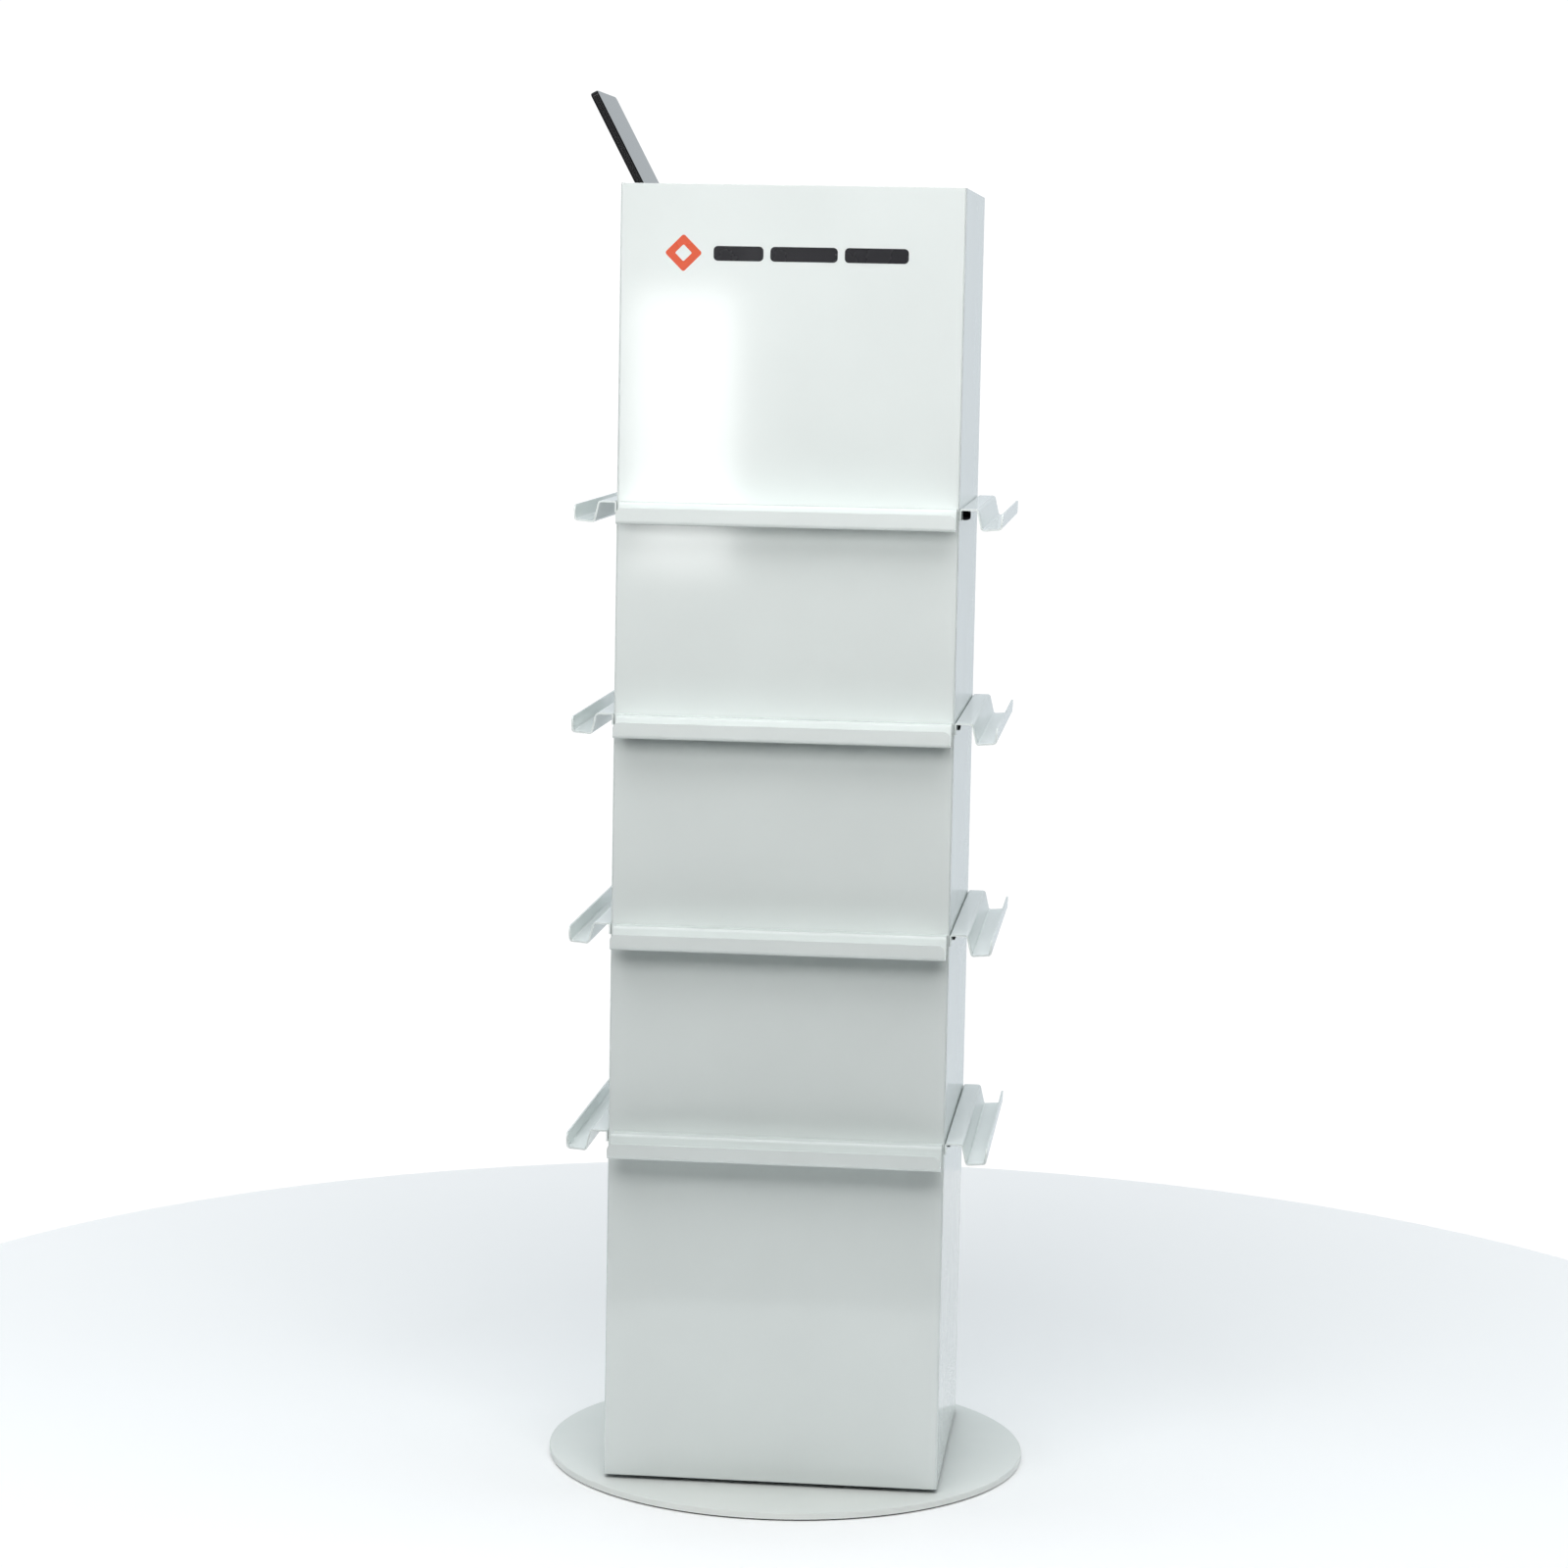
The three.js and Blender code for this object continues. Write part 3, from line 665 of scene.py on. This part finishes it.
EASED = [
    ("turntable_lower_race", "lower_ball_race", "base", "zinc_steel", zinc_plate),
    ("turntable_ball_cage", "balls_in_cage", "ball_cage", "nylon", natural_nylon),
    ("turntable_upper_race", "upper_ball_race", "tower", "zinc_steel", zinc_plate),
    ("floor_pan", "tower_floor_pan", "tower", "zinc_steel", zinc_plate),
    ("inner_brace", "tower_brace", "tower", "zinc_steel", zinc_plate),
    ("top_tray", "bin_tray", "tower", "white_coat", gloss_white),
    ("hinge_bracket", "screen_hinge_bracket", "tower", "zinc_steel", zinc_plate),
    ("hinge_pin", "screen_hinge_pin", "tower", "pin_steel", ground_steel),
    ("hinge_leaf", "screen_hinge_leaf", "screen", "zinc_steel", zinc_plate),
    ("screen_battery", "battery_pouch", "screen", "battery_foil", foil_pouch),
    ("screen_board", "main_board", "screen", "board", solder_mask),
    ("screen_panel", "display_module", "screen", "display_panel", display_module),
    ("screen_shell", "rear_shell", "screen", "black_plastic", black_abs),
    ("screen_bezel", "bezel_frame", "screen", "black_plastic", black_abs),
    ("screen_glass", "cover_glass", "screen", "screen_glass", cover_glass),
]

for node, name, body, slot, material in EASED:
    eased_copy(node, name, body, material)
print(len(EASED), "eased copies made")

# %% [markdown]
# ## Screws
#
# The shelves are held by M5 button-head screws in black oxide, two through each flange. One head is
# made from rings of points that start as a hexagon at the bottom of the socket and end as a
# circle at the rim. Geometry Nodes then set it at every place, because the places follow a rule.

# %% One button head
HEAD_SIDES = 24
SOCKET_CHAMFER = 0.15 * MM
RIM_HEIGHT = 0.25 * MM
FLAT_SHARE = 0.72  # radius of the head's flat top, as a share of the socket's width


def hexagon_radius(angle, across_flats):
    """Distance from the centre to a hexagon's side in that direction."""
    return across_flats / 2 / math.cos((angle % (math.pi / 3)) - math.pi / 6)


def screw_head(name, radius, height, socket, socket_depth, dome_steps=6):
    """A button head that points along +Z with its seat at z = 0."""
    angles = [2 * math.pi * i / HEAD_SIDES for i in range(HEAD_SIDES)]

    def ring(shape, size, z):
        return [shape.verts.new((size(a) * math.cos(a), size(a) * math.sin(a), z)) for a in angles]

    shape = bmesh.new()
    floor_z = height - socket_depth
    rings = [
        ring(shape, lambda a: hexagon_radius(a, socket), floor_z),
        ring(shape, lambda a: hexagon_radius(a, socket), height - SOCKET_CHAMFER),
        ring(shape, lambda a: hexagon_radius(a, socket + 2 * SOCKET_CHAMFER), height),
    ]
    flat = socket * FLAT_SHARE
    for step in range(dome_steps + 1):
        angle = math.pi / 2 * step / dome_steps
        size = flat + (radius - flat) * math.sin(angle)
        z = RIM_HEIGHT + (height - RIM_HEIGHT) * math.cos(angle)
        rings.append(ring(shape, lambda a, s=size: s, z))
    rings.append(ring(shape, lambda a: radius, 0))
    for inner, outer in zip(rings, rings[1:]):
        for i in range(HEAD_SIDES):
            j = (i + 1) % HEAD_SIDES
            shape.faces.new((inner[i], outer[i], outer[j], inner[j]))
    shape.faces.new(rings[0])
    shape.faces.new(rings[-1][::-1])
    bmesh.ops.recalc_face_normals(shape, faces=shape.faces)
    mesh = bpy.data.meshes.new(name)
    shape.to_mesh(mesh)
    shape.free()
    for polygon in mesh.polygons:
        polygon.use_smooth = True
    mesh.set_sharp_from_angle(angle=math.radians(40))
    return bpy.data.objects.new(name, mesh)


# %% [markdown]
# The tree below lays a grid of screws on one wall: columns along it, shifted sideways where the
# shelf is, and rows up it. It then repeats that wall on the opposite side by a half turn. Its
# inputs are real sizes, and the result is realised into plain mesh, because instances are lost
# when the model is exported.

# %% The tree that sets screws on two opposite walls


def screw_wall_tree(name, material):
    tree = bpy.data.node_groups.new(name, "GeometryNodeTree")
    face = tree.interface
    face.new_socket("Geometry", in_out="OUTPUT", socket_type="NodeSocketGeometry")
    for title in ("Column spacing", "Sideways", "Row pitch", "First row", "Wall distance"):
        face.new_socket(title, in_out="INPUT", socket_type="NodeSocketFloat")
    for title in ("Columns", "Rows", "Walls"):
        face.new_socket(title, in_out="INPUT", socket_type="NodeSocketInt")
    face.new_socket("Head", in_out="INPUT", socket_type="NodeSocketObject")
    given = add(tree, "NodeGroupInput").outputs

    def maths(operation, a, b):
        return add(tree, "ShaderNodeMath", {0: a, 1: b}, operation=operation).outputs[0]

    columns_less_one = maths("SUBTRACT", given["Columns"], 1.0)
    half_width = maths("MULTIPLY", maths("MULTIPLY", columns_less_one, given["Column spacing"]), -0.5)
    first_column = maths("ADD", half_width, given["Sideways"])
    back = maths("MULTIPLY", given["Wall distance"], -1.0)
    start = add(tree, "ShaderNodeCombineXYZ", {"X": first_column, "Y": back, "Z": given["First row"]})
    step = add(tree, "ShaderNodeCombineXYZ", {"X": given["Column spacing"]})
    row = add(tree, "GeometryNodeMeshLine", {
        "Count": given["Columns"], "Start Location": start.outputs[0], "Offset": step.outputs[0],
    })
    lift = add(tree, "ShaderNodeCombineXYZ", {"Z": given["Row pitch"]})
    levels = add(tree, "GeometryNodeMeshLine", {"Count": given["Rows"], "Offset": lift.outputs[0]})
    grid = add(tree, "GeometryNodeInstanceOnPoints", {
        "Points": levels.outputs["Mesh"], "Instance": row.outputs["Mesh"],
    })
    places = add(tree, "GeometryNodeRealizeInstances", {"Geometry": grid.outputs["Instances"]})
    head = add(tree, "GeometryNodeObjectInfo", {"Object": given["Head"], "As Instance": True})
    screws = add(tree, "GeometryNodeInstanceOnPoints", {
        "Points": places.outputs[0], "Instance": head.outputs["Geometry"],
        "Rotation": (math.pi / 2, 0.0, 0.0),
    })
    wall_points = add(tree, "GeometryNodeMeshLine", {"Count": given["Walls"], "Offset": (0.0, 0.0, 0.0)})
    number = add(tree, "GeometryNodeInputIndex")
    spin = add(tree, "ShaderNodeCombineXYZ", {"Z": maths("MULTIPLY", number.outputs[0], math.pi)})
    walls = add(tree, "GeometryNodeInstanceOnPoints", {
        "Points": wall_points.outputs["Mesh"], "Instance": screws.outputs["Instances"],
        "Rotation": spin.outputs[0],
    })
    real = add(tree, "GeometryNodeRealizeInstances", {"Geometry": walls.outputs["Instances"]})
    painted = add(tree, "GeometryNodeSetMaterial", {"Geometry": real.outputs[0], "Material": material})
    add(tree, "NodeGroupOutput", {"Geometry": painted.outputs[0]})
    return tree


def plain_mesh_from(tree, name, sizes, turn=0.0):
    """Runs a tree with these input values, and keeps the result as a plain mesh."""
    holder = bpy.data.objects.new(name + "_source", bpy.data.meshes.new(name + "_source"))
    bpy.context.collection.objects.link(holder)
    modifier = holder.modifiers.new("tree", "NODES")
    modifier.node_group = tree
    for item in tree.interface.items_tree:
        if item.item_type == "SOCKET" and item.in_out == "INPUT":
            modifier[item.identifier] = sizes[item.name]
    evaluated = holder.evaluated_get(bpy.context.evaluated_depsgraph_get())
    mesh = bpy.data.meshes.new_from_object(evaluated)
    mesh.name = name
    mesh.transform(Matrix.Rotation(turn, 4, "Z"))
    bpy.data.objects.remove(holder)
    piece = bpy.data.objects.new(name, mesh)
    bpy.context.collection.objects.link(piece)
    return piece


# %% [markdown]
# The shelf screws stand on the flange, so their seat is one gap and one sheet out from the wall. One
# of them, at the near end of the top shelf on the right, wears a push-on plastic cap.

# %% Screws of the shelves and of the rear panel
SCREW_INSET = 40 * MM
SCREW_DROP = 7.6 * MM
m5_head = screw_head("m5_button_head", 4.75 * MM, 2.75 * MM, 3 * MM, 1.6 * MM)
m4_head = screw_head("m4_button_head", 3.8 * MM, 2.2 * MM, 2.5 * MM, 1.3 * MM)
screw_tree = screw_wall_tree("screws_on_walls", black_oxide)
TIER_PITCH = LEDGES[1] - LEDGES[0]
PANEL_SCREW_INSET = 40 * MM
PANEL_SCREW_ROWS = 6


def shelf_screws(name, side, turn):
    _, along, wall = SIDES[side]
    low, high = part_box(f"{side}_shelf_1")
    screws = plain_mesh_from(screw_tree, name, {
        "Column spacing": abs((high - low).dot(along)) - 2 * SCREW_INSET,
        "Sideways": (low + high).dot(along) / 2,
        "Row pitch": TIER_PITCH,
        "First row": LEDGES[0] - SCREW_DROP,
        "Wall distance": wall + GAP + SHELF_SHEET,
        "Columns": 2,
        "Rows": TIERS,
        "Walls": 2,
        "Head": m5_head,
    }, turn)
    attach(screws, "tower")
    return screws


CAP_RADIUS = 6.2 * MM
CAP_HEIGHT = 8.5 * MM
CAP_DROP = 8.8 * MM
cap_head = screw_head("screw_cap_head", CAP_RADIUS, CAP_HEIGHT, 5 * MM, 1.2 * MM)


def screw_cap():
    """One push-on cap, over the front screw of the top shelf on the right-hand side."""
    low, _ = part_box(f"right_shelf_{TIERS}")
    cap = plain_mesh_from(screw_tree, "right_hand_screw_cap", {
        "Column spacing": 0.0,
        "Sideways": low.y + SCREW_INSET,
        "Row pitch": 0.0,
        "First row": LEDGES[-1] - CAP_DROP,
        "Wall distance": HALF_WIDTH + GAP + SHELF_SHEET,
        "Columns": 1,
        "Rows": 1,
        "Walls": 1,
        "Head": cap_head,
    }, math.pi / 2)
    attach(cap, "tower")
    return cap


def panel_screws():
    tongue_middle = panel_high.x - REAR_TONGUE / 2
    run = TOWER_TOP - TOWER_BOTTOM - 2 * PANEL_SCREW_INSET
    screws = plain_mesh_from(screw_tree, "rear_panel_screws", {
        "Column spacing": 2 * tongue_middle,
        "Sideways": 0.0,
        "Row pitch": run / (PANEL_SCREW_ROWS - 1),
        "First row": TOWER_BOTTOM + PANEL_SCREW_INSET,
        "Wall distance": HALF_DEPTH,
        "Columns": 2,
        "Rows": PANEL_SCREW_ROWS,
        "Walls": 1,
        "Head": m4_head,
    }, math.pi)
    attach(screws, "tower")
    return screws


for piece in (
    shelf_screws("front_and_back_shelf_screws", "front", 0.0),
    shelf_screws("side_shelf_screws", "right", math.pi / 2),
    screw_cap(),
    panel_screws(),
):
    print(piece.name, len(piece.data.polygons), "faces")

# %% [markdown]
# ## The mark on the header
#
# The header carries a mark cut from vinyl film 0.1 mm thick. This one is made of plain shapes that
# stand for no maker: an orange rhombus with a window in it, and a line of dark rounded bars.

# %% Cut vinyl
VINYL = 0.12 * MM
FILM_SHARE = 0.9  # the film stays clear of the coat by the rest
FRONT_FACE = -HALF_DEPTH


def rounded_bar(width, height, radius, steps=6):
    """Outline of a rounded rectangle about the origin, as a list of points."""
    points = []
    for quarter, (sx, sy) in enumerate(((1, 1), (-1, 1), (-1, -1), (1, -1))):
        centre = Vector((sx * (width / 2 - radius), sy * (height / 2 - radius)))
        for step in range(steps + 1):
            angle = math.pi / 2 * (quarter + step / steps)
            points.append(centre + Vector((math.cos(angle), math.sin(angle))) * radius)
    return points


def vinyl_shape(shape, outline, hole, x, z):
    """Adds one flat piece of film to the mesh, facing the front, with an optional hole."""
    def corner(point):
        return shape.verts.new((x + point.x, FRONT_FACE - VINYL, z + point.y))

    outer = [corner(point) for point in outline]
    if hole is None:
        shape.faces.new(outer)
        return
    inner = [corner(point) for point in hole]
    count = len(outer)
    for i in range(count):
        j = (i + 1) % count
        shape.faces.new((outer[i], outer[j], inner[j], inner[i]))


def film_piece(name, parts, material):
    shape = bmesh.new()
    for outline, hole, x, z in parts:
        vinyl_shape(shape, outline, hole, x, z)
    bmesh.ops.recalc_face_normals(shape, faces=shape.faces)
    if shape.faces[0].normal.y > 0:
        bmesh.ops.reverse_faces(shape, faces=shape.faces)
    mesh = bpy.data.meshes.new(name)
    shape.to_mesh(mesh)
    shape.free()
    piece = finish_object(name, mesh, material)
    film = piece.modifiers.new("film", "SOLIDIFY")
    film.thickness = FILM_SHARE * VINYL
    film.offset = -1
    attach(piece, "tower")
    return piece


MARK_HEIGHT = 1.469
BAR_HEIGHT = 17 * MM
BAR_ROUND = 0.3 * BAR_HEIGHT
BARS = [(-62 * MM, 58 * MM), (14 * MM, 78 * MM), (98 * MM, 74 * MM)]  # middle and width of each
RHOMBUS_MIDDLE = -126 * MM
RHOMBUS_SIDE, RHOMBUS_ROUND = 31 * MM, 3 * MM
WINDOW_SIDE, WINDOW_ROUND = 14 * MM, 1.5 * MM


def header_mark():
    turned_square = Matrix.Rotation(math.pi / 4, 2)
    square = rounded_bar(RHOMBUS_SIDE, RHOMBUS_SIDE, RHOMBUS_ROUND)
    window = rounded_bar(WINDOW_SIDE, WINDOW_SIDE, WINDOW_ROUND)
    outline = [turned_square @ point for point in square]
    hole = [turned_square @ point for point in window]
    film_piece("mark_rhombus", [(outline, hole, RHOMBUS_MIDDLE, MARK_HEIGHT)], orange_vinyl)
    bars = [(rounded_bar(width, BAR_HEIGHT, BAR_ROUND), None, x, MARK_HEIGHT) for x, width in BARS]
    film_piece("mark_bars", bars, dark_vinyl)


header_mark()
print("generic header mark made")

# %% [markdown]
# ## Floor, room and light
#
# The tower stands on a white floor in a white room that is lit mostly from behind and above. One
# bank of soft light hangs high in front and one stands close in front at chest height, so the face
# is brightest at the top and fades towards the floor, and the shade under the shelves deepens on
# the way down. A third bank above the floor plate keeps it pale. The floor is a round white sheet
# with a painted glow: its emission is faint in the middle and stronger at its rim, which melts into
# the room, and it adds a little painted light on the tower from below. A tall soft box stands far
# off to the front left: the gloss paint mirrors it as the bright patch on the header.

# %% Floor and room


FLOOR_RADIUS = 1.4
FLOOR_IN_FRONT = 1.1  # how far the floor reaches in front of the tower's axis
# painted glow of the floor: emission strength in its middle and at its rim
FLOOR_GLOW = 0.11
FLOOR_RIM_GLOW = 0.24
FLOOR_EVEN_SHARE = 0.4  # share of the radius inside which the glow is even
FLOOR_GRAIN = 4 * MM


def white_floor():
    shape = bmesh.new()
    bmesh.ops.create_circle(shape, cap_ends=True, segments=96, radius=FLOOR_RADIUS)
    bmesh.ops.translate(shape, verts=shape.verts, vec=(0, FLOOR_RADIUS - FLOOR_IN_FRONT, 0))
    mesh = bpy.data.meshes.new("studio_floor")
    shape.to_mesh(mesh)
    shape.free()
    material, tree, shader = new_material("white_floor_painted_glow")
    shader.inputs["Base Color"].default_value = linear("#FAFAFA")
    shader.inputs["Emission Color"].default_value = linear("#FFFFFF")
    place = add(tree, "ShaderNodeTexCoord")
    distance = add(tree, "ShaderNodeVectorMath", {
        0: place.outputs["Object"], 1: (0, FLOOR_RADIUS - FLOOR_IN_FRONT, 0),
    }, operation="DISTANCE")
    # painted glow: the floor's emission, even near the middle and rising towards the rim, which also
    # lights the tower faintly from below
    fade = add(tree, "ShaderNodeMapRange", {
        "Value": distance.outputs["Value"],
        "From Min": FLOOR_EVEN_SHARE * FLOOR_RADIUS, "From Max": FLOOR_RADIUS,
        "To Min": FLOOR_GLOW, "To Max": FLOOR_RIM_GLOW,
    })
    tree.links.new(fade.outputs["Result"], shader.inputs["Emission Strength"])
    grain = object_noise(tree, FLOOR_GRAIN)
    tree.links.new(spread(tree, grain, 0.85, 0.95), shader.inputs["Roughness"])
    floor = finish_object("studio_floor", mesh, material)
    return floor


def smooth_part(tree, value, low, high):
    """0 below low, 1 above high, and a smooth change between."""
    return add(tree, "ShaderNodeMapRange", {
        "Value": value, "From Min": low, "From Max": high,
    }, interpolation_type="SMOOTHSTEP").outputs["Result"]


def white_room(seen, front, behind, overhead):
    """A world that the camera sees as even white. What lights the tower and is mirrored in its
    paint is dimmer: one strength towards -Y, one towards +Y and one more from straight above."""
    world = bpy.data.worlds.new("white_room")
    world.use_nodes = True
    tree = world.node_tree
    tree.nodes.clear()
    direction = add(tree, "ShaderNodeTexCoord")
    parts = add(tree, "ShaderNodeSeparateXYZ", {0: direction.outputs["Generated"]})
    backward = smooth_part(tree, parts.outputs["Y"], -0.2, 0.5)
    level = add(tree, "ShaderNodeMapRange", {"Value": backward, "To Min": front, "To Max": behind})
    upward = smooth_part(tree, parts.outputs["Z"], 0.6, 0.9)
    above = add(tree, "ShaderNodeMath", {0: upward, 1: overhead}, operation="MULTIPLY")
    around = add(tree, "ShaderNodeMath", {
        0: level.outputs["Result"], 1: above.outputs[0],
    }, operation="ADD")
    room = add(tree, "ShaderNodeBackground", {"Color": linear("#F2FAFF"), "Strength": around.outputs[0]})
    white = add(tree, "ShaderNodeBackground", {"Color": linear("#FFFFFF"), "Strength": seen})
    ray = add(tree, "ShaderNodeLightPath")
    both = add(tree, "ShaderNodeMixShader", {
        0: ray.outputs["Is Camera Ray"], 1: room.outputs[0], 2: white.outputs[0],
    })
    add(tree, "ShaderNodeOutputWorld", {"Surface": both.outputs[0]})
    bpy.context.scene.world = world


def soft_light(name, place, target, size, radiance, colour="#FFFFFF", mirrored=False):
    """A rectangular soft light that faces a point. White paper in this light alone, close to it,
    would look as bright as the radiance. Only a mirrored light shows in the gloss paint."""
    data = bpy.data.lights.new(name, "AREA")
    data.shape = "RECTANGLE"
    data.size, data.size_y = size
    data.energy = radiance * math.pi * size[0] * size[1]
    data.color = linear(colour)[:3]
    light = bpy.data.objects.new(name, data)
    light.location = place
    light.rotation_euler = (Vector(target) - Vector(place)).to_track_quat("-Z", "Y").to_euler()
    light.visible_camera = False
    light.visible_glossy = mirrored
    bpy.context.collection.objects.link(light)
    return light


white_floor()
white_room(seen=1.05, front=0.0, behind=0.82, overhead=0.5)
soft_light("high_bank", (0, -1.7, 2.5), (0, 0, 1.2), (2.2, 0.9), 2.7, mirrored=True)
soft_light("near_bank", (0, -1.5, 1.38), (0, 0, 1.3), (1.8, 0.5), 4.2)
soft_light("top_bank", (0, -0.9, 3.2), (0, -0.9, 0), (2.5, 1.5), 1.4)
box_place = Vector((-0.912, -6.2, 1.078))
box_target = (box_place.x, 0, box_place.z)
soft_light("tall_soft_box", box_place, box_target, (0.273, 0.75), 8, mirrored=True)
bpy.context.scene.view_settings.view_transform = "Standard"
print("floor, room and lights set")
